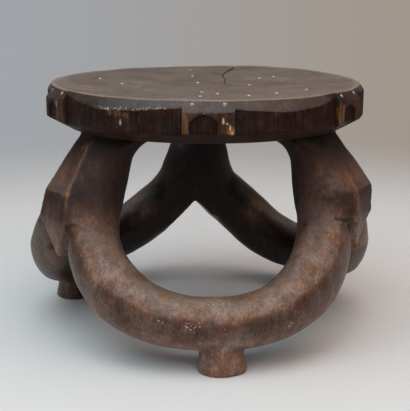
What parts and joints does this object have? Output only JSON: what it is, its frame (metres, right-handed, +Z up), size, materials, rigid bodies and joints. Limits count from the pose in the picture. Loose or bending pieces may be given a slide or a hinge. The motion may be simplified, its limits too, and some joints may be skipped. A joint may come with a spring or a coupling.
{
  "type": "carved wooden stool",
  "caption": "Low round stool carved in dark hardwood: dished seat with lugs on its rim and small metal tacks, faceted uprights joined by round U-shaped bows on short flared feet.",
  "frame": {"origin": "on the floor, on the axis of the round seat", "axes": "+Z up along the axis of the seat; -Y to the front, over the front foot; +X to the right as seen from the front"},
  "size_m": [0.3573, 0.3568, 0.249],
  "materials": {
    "carved_wood": "dark hand-rubbed patina, dusty on upward faces, worn to golden brown on the edges",
    "tack_metal": "dull, scuffed, pale grey with a warm tarnish"
  },
  "bodies": {
    "root": {"bow_back_left": "carved_wood", "bow_back_right": "carved_wood", "bow_front": "carved_wood", "dish_tack_01": "tack_metal", "dish_tack_02": "tack_metal", "dish_tack_03": "tack_metal", "dish_tack_04": "tack_metal", "dish_tack_05": "tack_metal", "dish_tack_06": "tack_metal", "dish_tack_07": "tack_metal", "dish_tack_08": "tack_metal", "dish_tack_09": "tack_metal", "dish_tack_10": "tack_metal", "dish_tack_11": "tack_metal", "dish_tack_12": "tack_metal", "dish_tack_13": "tack_metal", "dish_tack_14": "tack_metal", "foot_back_left": "carved_wood", "foot_back_right": "carved_wood", "foot_front": "carved_wood", "lug_tack_01": "tack_metal", "lug_tack_02": "tack_metal", "lug_tack_03": "tack_metal", "lug_tack_04": "tack_metal", "lug_tack_05": "tack_metal", "lug_tack_06": "tack_metal", "lug_tack_07": "tack_metal", "lug_tack_08": "tack_metal", "lug_tack_09": "tack_metal", "lug_tack_10": "tack_metal", "lug_tack_11": "tack_metal", "lug_tack_12": "tack_metal", "seat": "carved_wood", "upright_back": "carved_wood", "upright_front_left": "carved_wood", "upright_front_right": "carved_wood"}
  },
  "joints": []
}
